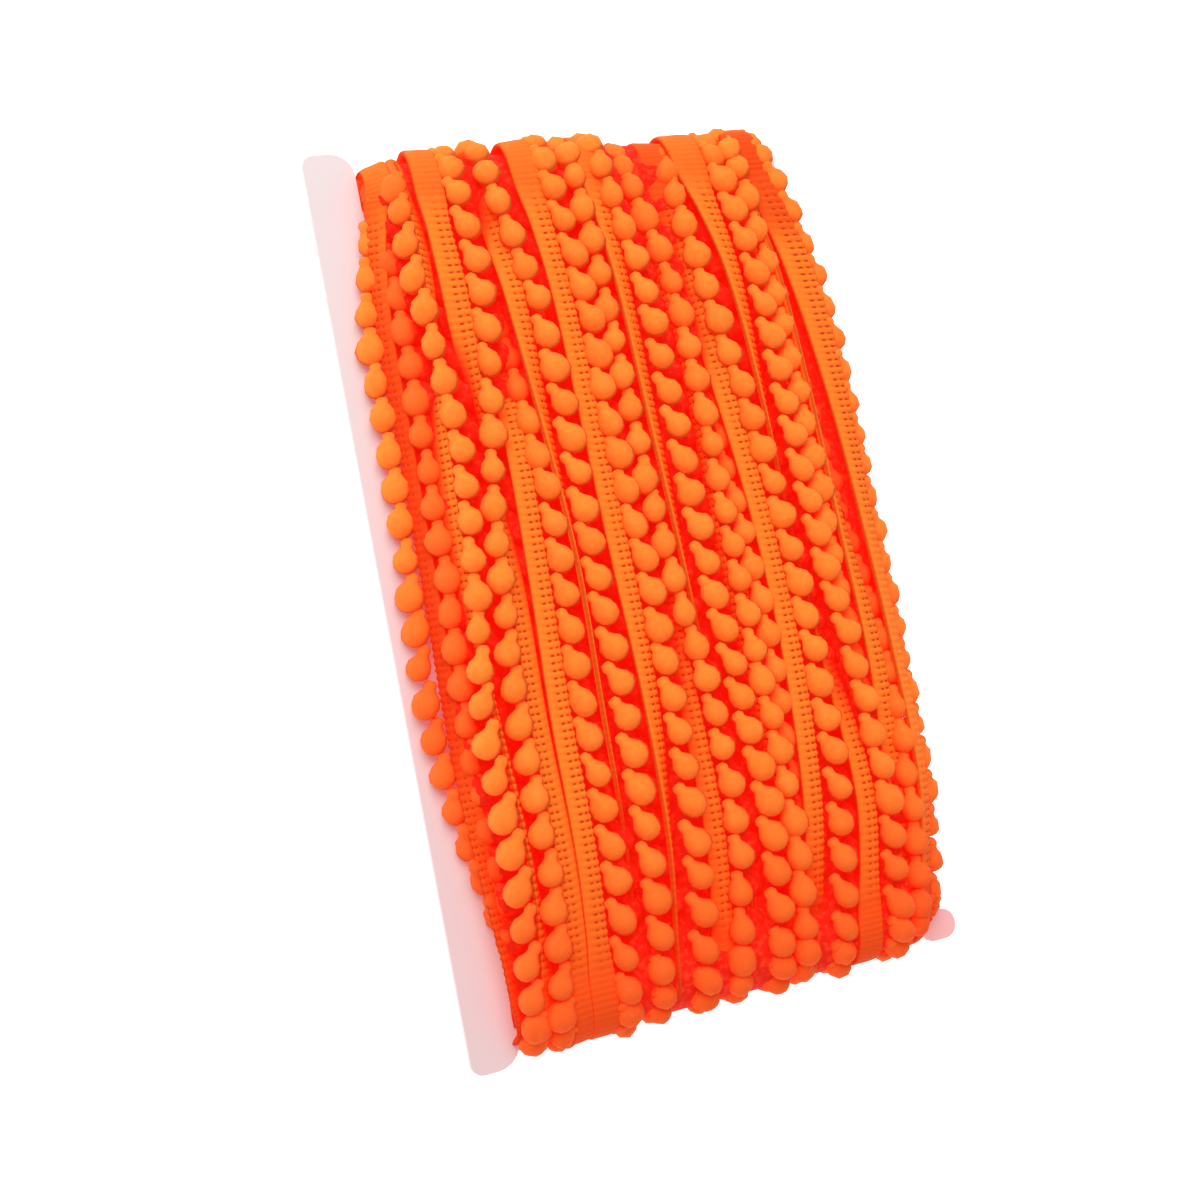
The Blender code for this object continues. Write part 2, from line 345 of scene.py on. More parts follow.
def smooth(values, low, high):
    """0 below low, 1 above high, smooth between."""
    share = np.clip((values - low) / (high - low), 0, 1)
    return share * share * (3 - 2 * share)


def end_share(along):
    """0 on the straight stretches, rising to 1 in the middle of either end."""
    place = np.mod(along, TURN / MM)
    past_bottom = np.clip((place - STRAIGHT / MM) / (END_ARC / MM), 0, 1)
    past_top = np.clip((TURN / MM - place) / (END_ARC / MM), 0, 1)
    return np.sin(math.pi * past_bottom) + np.sin(math.pi * past_top)


def taut_at(along):
    """1 where the tape is drawn taut round an end, 0 on the straight stretches."""
    place = np.mod(along, TURN / MM)
    straight = STRAIGHT / MM
    arc = END_ARC / MM
    from_bottom = np.abs(place - (straight + arc / 2)) - arc / 2
    to_top = TURN / MM - arc / 2
    from_top = np.minimum(np.abs(place - to_top), np.abs(place + arc / 2)) - arc / 2
    return 1 - smooth(np.minimum(from_bottom, from_top), *TAUT_STRETCH)


def pompom_height(along):
    """How high the pompoms' middles lie over the card, in metres."""
    return FULL_DEPTH - course_value(DEPTH, along) * MM


def tape_height(along):
    """The same for the tape's middle."""
    sin = np.sin(np.radians(course_value(TILT, along)))
    flat, above, below = UNDER_POMPOMS
    drop = flat + above * np.maximum(0, sin) + below * np.maximum(0, -sin)
    drop = drop - course_value(LIFT, along) - END_RISE * end_share(along)
    return pompom_height(along) - drop * MM


sample = np.array([66.0, 66.0 + TURN / MM])
print("pompoms at mid height of two turns, mm up:", (pompom_height(sample) / MM).round(1).tolist())

# %% [markdown]
# At every distance along the trim there is a point for the tape, a point for the pompoms, and
# the two directions that span the tape's cross-section. The direction away from the card comes
# from two points of the winding close together, so it turns smoothly round the ends.

# %% Points and directions along the trim
SIDEWAYS = np.array([1.0, 0.0, 0.0])


def outward_at(along, height):
    """Unit directions that point away from the card, from half a millimetre to either side."""
    y_after, z_after = turn_point(along + MM / 2, height)
    y_before, z_before = turn_point(along - MM / 2, height)
    run = np.stack([y_after - y_before, z_after - z_before], axis=1)
    run /= np.linalg.norm(run, axis=1)[:, None]
    return np.stack([np.zeros(len(run)), run[:, 1], -run[:, 0]], axis=1)


def trim_at(along):
    """The tape's points, the pompoms' points, and the tape's width and thickness directions."""
    tape_y, tape_z = turn_point(along * MM, tape_height(along))
    pompom_y, pompom_z = turn_point(along * MM, pompom_height(along))
    tape = np.stack([course_value(TAPE, along) * MM, tape_y, tape_z], axis=1)
    pompoms = np.stack([course_value(POMPOMS, along) * MM, pompom_y, pompom_z], axis=1)
    outward = outward_at(along * MM, tape_height(along))
    tilt = np.radians(course_value(TILT, along))[:, None]
    width = np.cos(tilt) * SIDEWAYS + np.sin(tilt) * outward
    return tape, pompoms, width, np.cos(tilt) * outward - np.sin(tilt) * SIDEWAYS


print("their tape, mm:", (trim_at(sample)[0] / MM).round(1).tolist())

# %% [markdown]
# Fluorescent yarn turns red where little light reaches it: deep between two turns, in the shade
# of a higher one, and round the low end of the card, which is turned away from the light. These
# shares of red are painted shade. They are worked out along the trim, and the materials read them
# as attributes.

# %% Where painted shade turns the trim red
OPEN_TURN = 0.9  # of the first turn, up to the place on the back where it meets the second
BETWEEN_RED = 0.6  # the most that the neighbours of a deep pompom redden it
BETWEEN_DEPTHS = (3.4, 8.0)  # mm under the front: where that begins and where it is full
LOW_END = (98, 142, 152, 180)  # mm along a turn: the redder stretch comes and goes again
LOW_END_RED = 0.55
FIRST_TURN_RED = 0.42  # the lower half of the first turn lies in the shade of the second
FIRST_TURN_STRETCH = (55.0, 85.0)  # mm along it: where that begins and where it is full
FIRST_TAPE_RED = 0.45  # and so does the whole of its tape
FIRST_TAPE_STRETCH = (0.0, 0.1, 0.85, 0.95)  # of a turn: where that comes and goes again
TAPE_DEPTH_RED = 0.8
TAPE_DEPTHS = (4.4, 8.6)  # mm under the front
TAPE_UNDER = (1.4, 3.4)  # mm under its own pompoms
TAPE_SHADES = ((11, 18.0, 0.5), (15, 16.0, 0.6))  # turn, mm down from its top, share of red


def reddened(hidden, along):
    """A share of red, and more of it round the low end, where the light is weakest."""
    place = np.mod(along, TURN / MM)
    low_end = smooth(place, *LOW_END[:2]) * (1 - smooth(place, *LOW_END[2:]))
    return 1 - (1 - hidden) * (1 - LOW_END_RED * low_end)


def pompoms_red(along):
    """How much of its light a turn's neighbours take from it. Both edge turns lie open."""
    turn = along / (TURN / MM)
    inside = (turn > OPEN_TURN) & (turn < len(TURNS) - 2 + OPEN_TURN)
    depth = course_value(DEPTH, along)
    between = np.where(inside, BETWEEN_RED * smooth(depth, *BETWEEN_DEPTHS), 0.0)
    beside = FIRST_TURN_RED * smooth(along, *FIRST_TURN_STRETCH)
    return reddened(between + np.where(turn < OPEN_TURN, beside, 0.0), along)


def tape_red(along, height):
    """The same for points of the tape, whose heights over the card are in metres."""
    under = (pompom_height(along)[:, None] - height) / MM
    deep = TAPE_DEPTH_RED * smooth((FULL_DEPTH - height) / MM, *TAPE_DEPTHS)
    along = along[:, None]
    turn = along * MM / TURN
    first, last = FIRST_TAPE_STRETCH[:2], FIRST_TAPE_STRETCH[2:]
    beside = FIRST_TAPE_RED * smooth(turn, *first) * (1 - smooth(turn, *last))
    for number, reach, share in TAPE_SHADES:
        away = np.abs(along - number * TURN / MM)
        beside = np.maximum(beside, share * (1 - smooth(away, reach / 2, reach)))
    painted_shade = reddened(np.maximum(deep, smooth(under, *TAPE_UNDER)), along)
    return 1 - (1 - painted_shade) * (1 - beside)


print("red of the third turn's pompoms:", pompoms_red(sample + TURN / MM).round(2).tolist())

# %% [markdown]
# Tape and core are both a cross-section carried along the course, so one function makes them.
# A grid is laid over rows of section points, its long seam is welded, and the two ends are
# filled unless the band closes on itself. How far along and how far across each point lies,
# and how much painted shade it gets, goes into attributes for the material.

# %% A band from rows of sections
WELD = 0.001  # mm between two points that become one


def as_object(name, mesh):
    """A new object in the scene."""
    item = bpy.data.objects.new(name, mesh)
    bpy.context.scene.collection.objects.link(item)
    return item


def band(name, rows, attributes, closed=False):
    """rows is (places, points round a section, 3) in metres, each attribute (places, points)."""
    places, sides = rows.shape[:2]
    steps = places if closed else places - 1
    bm = bmesh.new()
    bmesh.ops.create_grid(bm, x_segments=steps, y_segments=sides, size=1)
    mesh = bpy.data.meshes.new(name)
    bm.to_mesh(mesh)
    flat = np.empty(len(mesh.vertices) * 3)
    mesh.vertices.foreach_get("co", flat)
    grid = flat.reshape(-1, 3)
    place = np.rint((grid[:, 0] + 1) / 2 * steps).astype(int) % places
    side = np.rint((grid[:, 1] + 1) / 2 * sides).astype(int) % sides
    mesh.vertices.foreach_set("co", rows[place, side].ravel())
    for label, values in attributes.items():
        attribute = mesh.attributes.new(label, "FLOAT", "POINT")
        attribute.data.foreach_set("value", np.broadcast_to(values, (places, sides))[place, side])
    bm.clear()
    bm.from_mesh(mesh)
    bmesh.ops.remove_doubles(bm, verts=bm.verts, dist=WELD * MM)
    rims = [edge for edge in bm.edges if edge.is_boundary]
    if rims:
        bmesh.ops.holes_fill(bm, edges=rims)
    bmesh.ops.recalc_face_normals(bm, faces=bm.faces)
    bm.to_mesh(mesh)
    bm.free()
    mesh.shade_smooth()
    return as_object(name, mesh)


# %% [markdown]
# The woven tape is 3.8 mm wide and not quite a millimetre thick. Its weft threads make a fine
# rib every 1.25 mm, on both faces, and the ribs' ends make the tape's edges bumpy. A texture
# could paint the ribs on a flat strip, but then the edges would stay smooth, so they are real.
# The front and the ends get four places to a rib and the back, which is seldom looked at, two.

# %% Places along the tape
RIB_PITCH = 1.25  # mm
SELDOM_SEEN = (172, 42)  # mm from a turn's start and before its end: the back lies between
PLAIN_STRETCH = (60.0, 120.0)  # mm along the last turn where only its tape's plain edge shows
PLAIN_BLEND = 14  # mm in which that comes and goes


def tape_places(start, end):
    """Distances along the trim, close together on the front and the ends."""
    fine = np.arange(start, end, RIB_PITCH / 4)
    turn_share = np.mod(fine, TURN / MM)
    on_back = (turn_share > SELDOM_SEEN[0]) & (turn_share < TURN / MM - SELDOM_SEEN[1])
    every_second = np.arange(len(fine)) % 2 == 0
    return fine[~on_back | every_second]


def plain_at(along, taut):
    """1 where no holes show: on the taut ends, and down the last turn's turned-up edge."""
    place = along - (len(TURNS) - 1) * TURN / MM
    first, last = PLAIN_STRETCH
    begun = smooth(place, first, first + PLAIN_BLEND)
    return np.maximum(taut, begun * (1 - smooth(place, last - PLAIN_BLEND, last)))


print("ribs in one turn:", round(TURN / MM / RIB_PITCH))

# %% [markdown]
# The tape's section is a rounded bar. A cosine along the trim swells it at every rib, on both
# faces and at the edges. The edge away from the pompoms is the selvedge, smooth and a little
# thicker. Round the ends of the card the tape is pulled flat and spreads out.

# %% The tape's section
TAPE_SIDES = 14
TAPE_HALF_THICK = 0.42  # mm
SIDE_ROUND = 0.6  # powers of the section: 1 would be an ellipse, and less is squarer
FACE_ROUND = 0.8
RIB_SWELL = 0.13  # mm
RIBBED = (-0.75, 0.0)  # across the tape, from -1 to 1: where the ribs begin and are full
RIB_ENDS = (0.6, 1.0)  # where they push the edge out
SELVEDGE_SWELL = 0.14  # mm that the selvedge is thicker
SELVEDGE = (0.45, 0.8)  # across the tape, on the side away from the pompoms
TAUT_WIDER = 0.28  # share that the tape spreads out on the ends
TAUT_FLATTER = 0.8  # share that its ribs are pulled flat there


def signed_power(values, power):
    """A power of the values' sizes with their signs kept, which squares a round section."""
    return np.sign(values) * np.abs(values) ** power


def tape_sections(along):
    """Rows of section points round the tape, and the attributes of those points."""
    tape, _, width, thick = trim_at(along)
    angles = np.linspace(0, 2 * math.pi, TAPE_SIDES, endpoint=False)
    across = signed_power(np.cos(angles), SIDE_ROUND)
    rise = signed_power(np.sin(angles), FACE_ROUND)
    taut = taut_at(along)[:, None]
    spread = course_value(SPREAD, along)[:, None] / 2
    half_width = (TAPE_HALF_WIDTH + spread) * (1 + TAUT_WIDER * taut)
    wave = np.cos(2 * math.pi * along / RIB_PITCH)[:, None]
    rib = RIB_SWELL * (1 - TAUT_FLATTER * taut) * wave
    ribbed = smooth(across, *RIBBED)[None, :]
    selvedge = SELVEDGE_SWELL * smooth(-across, *SELVEDGE)[None, :]
    wide = half_width * across[None, :] + rib * smooth(across, *RIB_ENDS)[None, :]
    high = (TAPE_HALF_THICK + rib * ribbed + selvedge) * rise[None, :]
    width_part = wide[:, :, None] * width[:, None, :]
    thick_part = high[:, :, None] * thick[:, None, :]
    offset = (width_part + thick_part) * MM
    outward = outward_at(along * MM, FULL_DEPTH)
    height = tape_height(along)[:, None] + np.einsum("kij,kj->ki", offset, outward)
    attributes = {
        "along": along[:, None],
        "across": across,
        "painted_shade": tape_red(along, height),
        "taut": taut,
        "plain": plain_at(along[:, None], taut),
    }
    return tape[:, None, :] + offset, attributes


print("points of one section:", tape_sections(sample)[0].shape[1])

# %% [markdown]
# The tape is cut into three pieces of at most six turns, because one mesh of all the ribs would
# be too heavy. Each cut lies on the back, where the next piece begins one rib before it.

# %% Tape, piece by piece
TURNS_A_PIECE = 6
CUT_BEFORE = 43  # mm before a turn's start
TRIM_START = -64.0  # mm, where the trim's first end is tucked in on the back
TRIM_END = (len(TURNS) - 1) * TURN / MM + 168.0


def piece_ends(number):
    """Where a piece of the trim starts and ends, in millimetres along it."""
    first = number * TURNS_A_PIECE
    last = first + TURNS_A_PIECE
    start = first * TURN / MM - CUT_BEFORE if first else TRIM_START
    end = last * TURN / MM - CUT_BEFORE if last < len(TURNS) else TRIM_END
    return start, end


tapes = []
for number in range(math.ceil(len(TURNS) / TURNS_A_PIECE)):
    start, end = piece_ends(number)
    rows, attributes = tape_sections(tape_places(start, end + RIB_PITCH))
    tapes.append(band(f"tape_{number + 1}", rows, attributes))
    print(tapes[-1].name, "has", len(tapes[-1].data.polygons), "faces")

# %% [markdown]
# A pompom is a tuft of yarn drawn in at one end, where its neck is caught in the tape's edge.
# As a shape it is a drop: a plump body with a short knobbed neck. Strands of hair would be far
# too heavy for the hundreds of them, and a ball on a stalk would be too plain. So one drop is
# spun from its outline, about 90 faces, with the middle of its body at the origin. A spin makes
# its faces in no fixed order, so they are sorted, and every run gives the same mesh.

# %% One pompom
NECK_LENGTH = 3.6  # mm, from the neck's root to the body's middle
NECK_RADIUS = 1.1  # mm
BODY_RADIUS = 2.35  # mm
BODY_START = -1.9  # mm; what lies before it belongs to the neck and can be stretched
OUTLINE = (
    (-NECK_LENGTH, 0.0),
    (-3.5, 0.75),
    (-3.0, 1.15),
    (-2.4, 1.05),
    (BODY_START, 1.45),
    (-1.1, 2.1),
    (0.2, BODY_RADIUS),
    (1.3, 1.95),
    (2.0, 1.1),
    (2.3, 0.0),
)
DROP_SIDES = 10


def drop(sides, outline):
    """A bmesh of a drop along Z, in millimetres, from its outline of (z, radius)."""
    bm = bmesh.new()
    verts = [bm.verts.new((radius, 0, z)) for z, radius in outline]
    edges = [bm.edges.new(pair) for pair in zip(verts, verts[1:])]
    bmesh.ops.spin(
        bm,
        geom=verts + edges,
        cent=(0, 0, 0),
        axis=(0, 0, 1),
        angle=2 * math.pi,
        steps=sides,
        use_merge=True,
    )
    bmesh.ops.remove_doubles(bm, verts=bm.verts, dist=WELD)
    bmesh.ops.recalc_face_normals(bm, faces=bm.faces)
    bm.verts.index_update()
    count = len(bm.verts)
    bm.faces.sort(key=lambda face: face.verts[0].index * count + face.verts[1].index)
    return bm


trial = drop(DROP_SIDES, OUTLINE)
print("a pompom has", len(trial.faces), "faces and", round(trial.calc_volume(), 1), "mm3")
trial.free()

# %% [markdown]
# A neck leaves the tape's edge a little further up the trim than its pompom lies. Where the tape
# has turned over or sunk, a neck that kept to its edge would be stretched too far, so its root
# is drawn up and across to where the pompom can hold it.

# %% Roots of the necks
POMPOM_PITCH = 6.0  # mm
NECK_BEHIND = 3.8  # mm that a neck's root lies behind its pompom along the trim
NECK_SINKS = 0.5  # mm at most that a neck's root lies deeper than its pompom
NECK_ASIDE = 2.1  # mm at most that it lies beside it


def neck_roots(edges, centres, outward):
    """The necks' roots near the tape's edge, drawn up to where the pompoms can hold them."""
    deeper = np.sum((centres - edges) * outward, axis=1)
    raised = np.maximum(0, deeper - NECK_SINKS * MM)
    roots = edges + raised[:, None] * outward
    aside = np.clip(roots[:, 0] - centres[:, 0], -NECK_ASIDE * MM, NECK_ASIDE * MM)
    roots[:, 0] = centres[:, 0] + aside
    return roots


print("pompoms in one turn: about", round(TURN / MM / POMPOM_PITCH))

# %% [markdown]
# The drop is repeated by an array as often as there are pompoms, and then every copy is moved
# to its place: the body onto the course of the pompoms, the neck's root onto the tape's edge.
# Only the neck is stretched to reach. Yarn is never regular, so size, roundness and lean vary
# from one to the next, from a fixed seed. Copies of one object would be lighter, but they would
# all be alike.

# %% A row of pompoms
NECK_LEAST = 0.4  # mm of neck that is left where the root lies close
ASTRAY = 0.16  # mm that a pompom lies beside its course, as a standard deviation
SIZES = (0.93, 1.08)
LENGTHS = (0.97, 1.15)
LUMPS = (0.06, 0.045, 0.03)  # shares of the radius: two and three to the round, and lengthways
LUMP_TURNS = (0.9, 1.7)  # radians to a millimetre, of the three and of the lengthways ones
AWRY = np.array([0.31, 0.2, 0.93])  # any direction that no pompom's axis has
SHADED_SIDE = np.array([0.38, -0.12, 0.0])  # the side of a pompom that is away from the light, where it gets painted shade


def unit(vectors):
    """The same directions with a length of 1."""
    return vectors / np.linalg.norm(vectors, axis=-1, keepdims=True)


def copies(name, sides, outline, count):
    """One mesh of count copies of the drop, and the points of one drop in millimetres."""
    bm = drop(sides, outline)
    mesh = bpy.data.meshes.new(name)
    bm.to_mesh(mesh)
    bm.free()
    single = np.empty(len(mesh.vertices) * 3)
    mesh.vertices.foreach_get("co", single)
    item = as_object(name, mesh)
    array = item.modifiers.new("copies", "ARRAY")
    array.count = count
    array.use_relative_offset = False
    array.use_constant_offset = True
    array.constant_offset_displace = (0, 0, 0)
    graph = bpy.context.evaluated_depsgraph_get()
    joined = bpy.data.meshes.new_from_object(item.evaluated_get(graph))
    item.modifiers.clear()
    item.data = joined
    joined.name = name
    return item, single.reshape(-1, 3)


def points_on_axis(centres, axis, height):
    """The points of every drop's axis beside which its own points lie."""
    return centres[:, None, :] + height[:, :, None] * axis[:, None, :] * MM


def lumpy(x, y, z, turn):
    """How much further out than its outline each point of each pompom lies, as a factor."""
    angle = np.arctan2(y, x)[None, :]
    two, three, lengthways = LUMPS
    twist, swell = LUMP_TURNS
    return (
        1
        + two * np.sin(2 * angle + turn[:, :1])
        + three * np.sin(3 * angle + twist * z[None, :] + turn[:, 1:2])
        + lengthways * np.sin(swell * z[None, :] + turn[:, 2:])
    )


def pompom_row(name, centres, roots, outward, hidden, sides, outline, seed):
    """Pompoms with their bodies at centres and their necks' roots at roots, in metres.

    outward points away from the card at each, and hidden is the share of painted shade that a
    pompom gets because its neighbours take its light, from 0 to 1.
    """
    random = np.random.default_rng(seed)
    count = len(centres)
    item, single = copies(name, sides, outline, count)
    centres = centres + random.normal(0, ASTRAY * MM, (count, 3))
    reach = np.linalg.norm(centres - roots, axis=1) / MM
    axis = unit(centres - roots)
    side_a = unit(np.cross(axis, AWRY))
    side_b = np.cross(axis, side_a)
    size = random.uniform(*SIZES, count)[:, None]
    long = random.uniform(*LENGTHS, count)[:, None]
    turn = random.uniform(0, 2 * math.pi, (count, 3))
    x, y, z = single.T
    neck = np.clip((BODY_START - z) / (NECK_LENGTH + BODY_START), 0, 1)[None, :]
    body = np.maximum(z, BODY_START)[None, :] * size * long
    drawn = np.maximum(reach[:, None] + BODY_START * size * long, NECK_LEAST)
    height = body - neck * drawn
    lumps = lumpy(x, y, z, turn)
    wide = size * (1 - neck) + neck
    x = x[None, :] * lumps * wide
    y = y[None, :] * lumps * wide
    on_axis = points_on_axis(centres, axis, height)
    aside = x[:, :, None] * side_a[:, None, :] * MM
    points = on_axis + aside + y[:, :, None] * side_b[:, None, :] * MM
    mesh = item.data
    mesh.vertices.foreach_set("co", points.ravel())
    middles = np.where(neck[:, :, None] > 0, on_axis, centres[:, None])
    thick = np.where(neck > 0, NECK_RADIUS, BODY_RADIUS)
    under = np.einsum("kij,kj->ki", middles - points, unit(outward - SHADED_SIDE)) / MM / thick
    shades = np.repeat(random.uniform(0, 1, count), len(single))
    hidden = np.repeat(hidden, len(single))
    for label, values in (("shade", shades), ("hidden", hidden), ("under", under.ravel())):
        attribute = mesh.attributes.new(label, "FLOAT", "POINT")
        attribute.data.foreach_set("value", values)
    mesh.update()
    mesh.shade_smooth()
    return item


print("a pompom is between", SIZES[0], "and", SIZES[1], "times its usual size")

# %% [markdown]
# Each piece of tape gets its own piece of pompoms. They hang every 6 mm along the whole trim,
# and stay a little clear of its two cut ends, where the tape is bare.

# %% Pompoms, piece by piece
ROOT_PAST_EDGE = 0.5  # mm that a neck's root lies outside the tape's edge
BARE_START = 4  # mm of tape without pompoms at the trim's first end
BARE_END = 2  # and at its last
pompoms = []
for number in range(len(tapes)):
    start, end = piece_ends(number)
    start = max(start, TRIM_START + BARE_START)
    end = min(end, TRIM_END - BARE_END)
    steps = np.arange(math.ceil(start / POMPOM_PITCH), math.ceil(end / POMPOM_PITCH))
    places = steps * POMPOM_PITCH
    tape_middles, _, width, _ = trim_at(places - NECK_BEHIND)
    edges = tape_middles + (TAPE_HALF_WIDTH + ROOT_PAST_EDGE) * MM * width
    centres = trim_at(places)[1]
    outward = outward_at(places * MM, FULL_DEPTH)
    roots = neck_roots(edges, centres, outward)
    red = pompoms_red(places)
    name = f"pompoms_{number + 1}"
    row = pompom_row(name, centres, roots, outward, red, DROP_SIDES, OUTLINE, seed=7 + number)
    pompoms.append(row)
    print(row.name, "has", len(places), "pompoms")

# %% [markdown]
# Between the outer turns one sees turns that lie deeper. A second, coarser winding of the same
# trim stands for them, each turn in the middle between two outer ones. To wind all the layers
# would only fill the dark with faces, and of these turns just the pompoms show, so they get no
# tape.

# %% The deeper turns
OUTER_DEPTH = 2.6  # mm that the outer pompoms commonly lie under the front
INNER_DEPTH = 4.7  # mm that the deeper pompoms lie under the outer ones
INNER_FROM = -20  # mm from a turn's start, on the top end, where a deeper turn begins and ends
INNER_ROOT = (1.6, 0.6)  # mm that a neck's root lies to the left of its pompom and deeper
INNER_SIDES = 8
INNER_OUTLINE = (
    (-NECK_LENGTH, 0.0),
    (-NECK_LENGTH, 0.9),
    (-1.75, 1.5),
    (-0.6, 2.2),
    (0.9, 2.25),
    (2.0, 1.2),
    (2.4, 0.0),
)


def deeper_turn(number):
    """Centres, necks' roots and outward directions between an outer turn and the next."""
    along = np.arange(INNER_FROM, INNER_FROM + TURN / MM, POMPOM_PITCH) + number * TURN / MM
    middle = (trim_at(along)[1] + trim_at(along + TURN / MM)[1])[:, 0] / 2
    outward = outward_at(along * MM, FULL_DEPTH)
    height = np.full(len(along), FULL_DEPTH - (OUTER_DEPTH + INNER_DEPTH) * MM)
    left, deeper = INNER_ROOT
    y, z = turn_point(along * MM, height)
    centres = np.stack([middle, y, z], axis=1)
    y, z = turn_point(along * MM - NECK_BEHIND * MM, height)
    roots = np.stack([middle - left * MM, y, z], axis=1) - deeper * MM * outward
    return centres, roots, outward


deeper_turns = [deeper_turn(number) for number in range(1, len(TURNS) - 2)]
centres, roots, outward = (np.concatenate(parts) for parts in zip(*deeper_turns))
# the deeper pompoms take the yarn's full painted shade
inner = pompom_row(
    "inner_pompoms",
    centres,
    roots,
    outward,
    np.ones(len(centres)),
    INNER_SIDES,
    INNER_OUTLINE,
    seed=31,
)
print("deeper pompoms:", len(centres))

# %% [markdown]
# What lies deeper still is never seen as threads, only as the red of yarn in deep shade. One
# smooth closed band round the card stands for it, in the yarn's full painted shade. It keeps low
# on the front and the back, where the deeper pompoms hide it, and comes up round the ends, and
# its edges bow out with the winding.

# %% The core
CORE_SIDES = 24
CORE_STEP = 4.0  # mm
CORE_HEIGHT = (1.5, 1.8, 0.9)  # mm: all round, more where the tape is taut, more round the ends
CORE_HALF_THICK = (1.3, 1.6, 0.8)  # mm, in the same way
CORE_AT_BOTTOM = 1.6  # times as much more round the bottom end as round the top end
CORE_LEFT = (-34.6, -4.4)  # mm across the card at the ends, and how much further at mid height
CORE_RIGHT = (34.0, 10.5)
CORE_SIDE_ROUND = 0.3  # powers of the section, as for the tape
CORE_FACE_ROUND = 0.6
core_along = np.arange(0, TURN / MM, CORE_STEP)
at_bottom = np.where(core_along < TURN / MM / 2, CORE_AT_BOTTOM, 1.0)


def core_size(sizes):
    """A height or thickness along the core, in metres."""
    common, taut, ends = sizes
    return (common + taut * taut_at(core_along) + ends * (end_share(core_along) * at_bottom)) * MM


def core_edge(edge, y):
    """How far across the card the core reaches, in metres."""
    at_ends, further = edge
    return at_ends * MM + further * MM * (1 - (y / trim_high.y) ** 2)


core_y, core_z = turn_point(core_along * MM, core_size(CORE_HEIGHT))
core_left = core_edge(CORE_LEFT, core_y)
core_right = core_edge(CORE_RIGHT, core_y)
core_angles = np.linspace(0, 2 * math.pi, CORE_SIDES, endpoint=False)
core_across = signed_power(np.cos(core_angles), CORE_SIDE_ROUND)
core_rise = signed_power(np.sin(core_angles), CORE_FACE_ROUND)
core_out = outward_at(core_along * MM, core_size(CORE_HEIGHT))
core_rows = np.zeros((len(core_along), CORE_SIDES, 3))
core_rows[:, :, 0] = (core_right + core_left)[:, None] / 2
core_rows[:, :, 0] += (core_right - core_left)[:, None] / 2 * core_across[None, :]
core_rows[:, :, 1] = core_y[:, None]
core_rows[:, :, 2] = core_z[:, None]
core_half = core_size(CORE_HALF_THICK)[:, None, None]
core_rows += core_half * core_rise[None, :, None] * core_out[:, None, :]
# the core takes the yarn's full painted shade
core = band("core", core_rows, {"shade": 0.5, "hidden": 1.0, "under": -1.0}, closed=True)
print("the core has", len(core.data.polygons), "faces")

# %% [markdown]
# The shading is arithmetic on sockets. Linked by hand, every sum would take three lines. So a
# small class wraps a socket, sums on it are written down as such, and each adds its Math node.
# The class's node method adds any other kind of node.


# %% Arithmetic on sockets
class Socket:
    """A shader socket that takes part in sums."""

    def __init__(self, tree, socket):
        self.tree = tree
        self.socket = socket

    def node(self, kind, inputs, output=0, **settings):
        """A node with its settings, then its inputs by name or number: values or Sockets."""
        made = self.tree.nodes.new(kind)
        for name, value in settings.items():
            setattr(made, name, value)
        for name, value in inputs.items():
            if isinstance(value, Socket):
                self.tree.links.new(value.socket, made.inputs[name])
            else:
                made.inputs[name].default_value = value
        return Socket(self.tree, made.outputs[output])

    def math(self, operation, *values):
        """A Math node on one or two values or Sockets."""
        return self.node("ShaderNodeMath", dict(enumerate(values)), operation=operation)

    def __add__(self, other):
        return self.math("ADD", self, other)

    def __radd__(self, other):
        return self.math("ADD", other, self)

    def __sub__(self, other):
        return self.math("SUBTRACT", self, other)

    def __rsub__(self, other):
        return self.math("SUBTRACT", other, self)

    def __mul__(self, other):
        return self.math("MULTIPLY", self, other)

    def __rmul__(self, other):
        return self.math("MULTIPLY", other, self)

    def __pow__(self, other):
        return self.math("POWER", self, other)

    def __rpow__(self, other):
        return self.math("POWER", other, self)

    def rising(self, low, high):
        """0 below low, 1 above high, smooth between."""
        inputs = {"Value": self, "From Min": low, "From Max": high}
        return self.node("ShaderNodeMapRange", inputs, interpolation_type="SMOOTHSTEP")


print("sockets can be added, subtracted, multiplied and raised to a power")

# %% [markdown]
# Every finish here begins in the same way: a Principled surface with one roughness and a weak
# gloss, since yarn and uncoated board shine little. A few helpers add the nodes that all of the
# finishes need, and join a socket to the surface.

# %% A start for every material
GLOSS = 0.25  # specular level


def start_material(name, roughness, gloss=GLOSS):
    """A new material, its Principled node and a Socket to build on."""
    material = bpy.data.materials.new(name)
    material.use_nodes = True
    tree = material.node_tree
    surface = tree.nodes["Principled BSDF"]
    surface.inputs["Roughness"].default_value = roughness
    surface.inputs["Specular IOR Level"].default_value = gloss
    return material, surface, Socket(tree, None)


def attribute(start, name):
    """The value of a mesh attribute."""
    return start.node("ShaderNodeAttribute", {}, output="Fac", attribute_name=name)


def object_point(start):
    """The point itself, in metres."""
    return start.node("ShaderNodeTexCoord", {}, output="Object")


def noise(start, scale, detail):
    """Cloudy values between 0 and 1, with about as many clouds to a metre as scale says."""
    inputs = {"Vector": object_point(start), "Scale": scale, "Detail": detail}
    return start.node("ShaderNodeTexNoise", inputs)


def colour_mix(start, factor, first, second):
    """A colour between two, each an (r, g, b, 1) or a Socket."""
    inputs = {0: factor, 6: first, 7: second}
    return start.node("ShaderNodeMix", inputs, output=2, data_type="RGBA")


def join(start, value, surface, name):
    """Feeds a Socket to one of the surface's inputs."""
    start.tree.links.new(value.socket, surface.inputs[name])


def glowing(surface, colour, strength):
    """Gives the surface a constant glow."""
    surface.inputs["Emission Color"].default_value = colour
    surface.inputs["Emission Strength"].default_value = strength


print("materials so far:", len(bpy.data.materials))
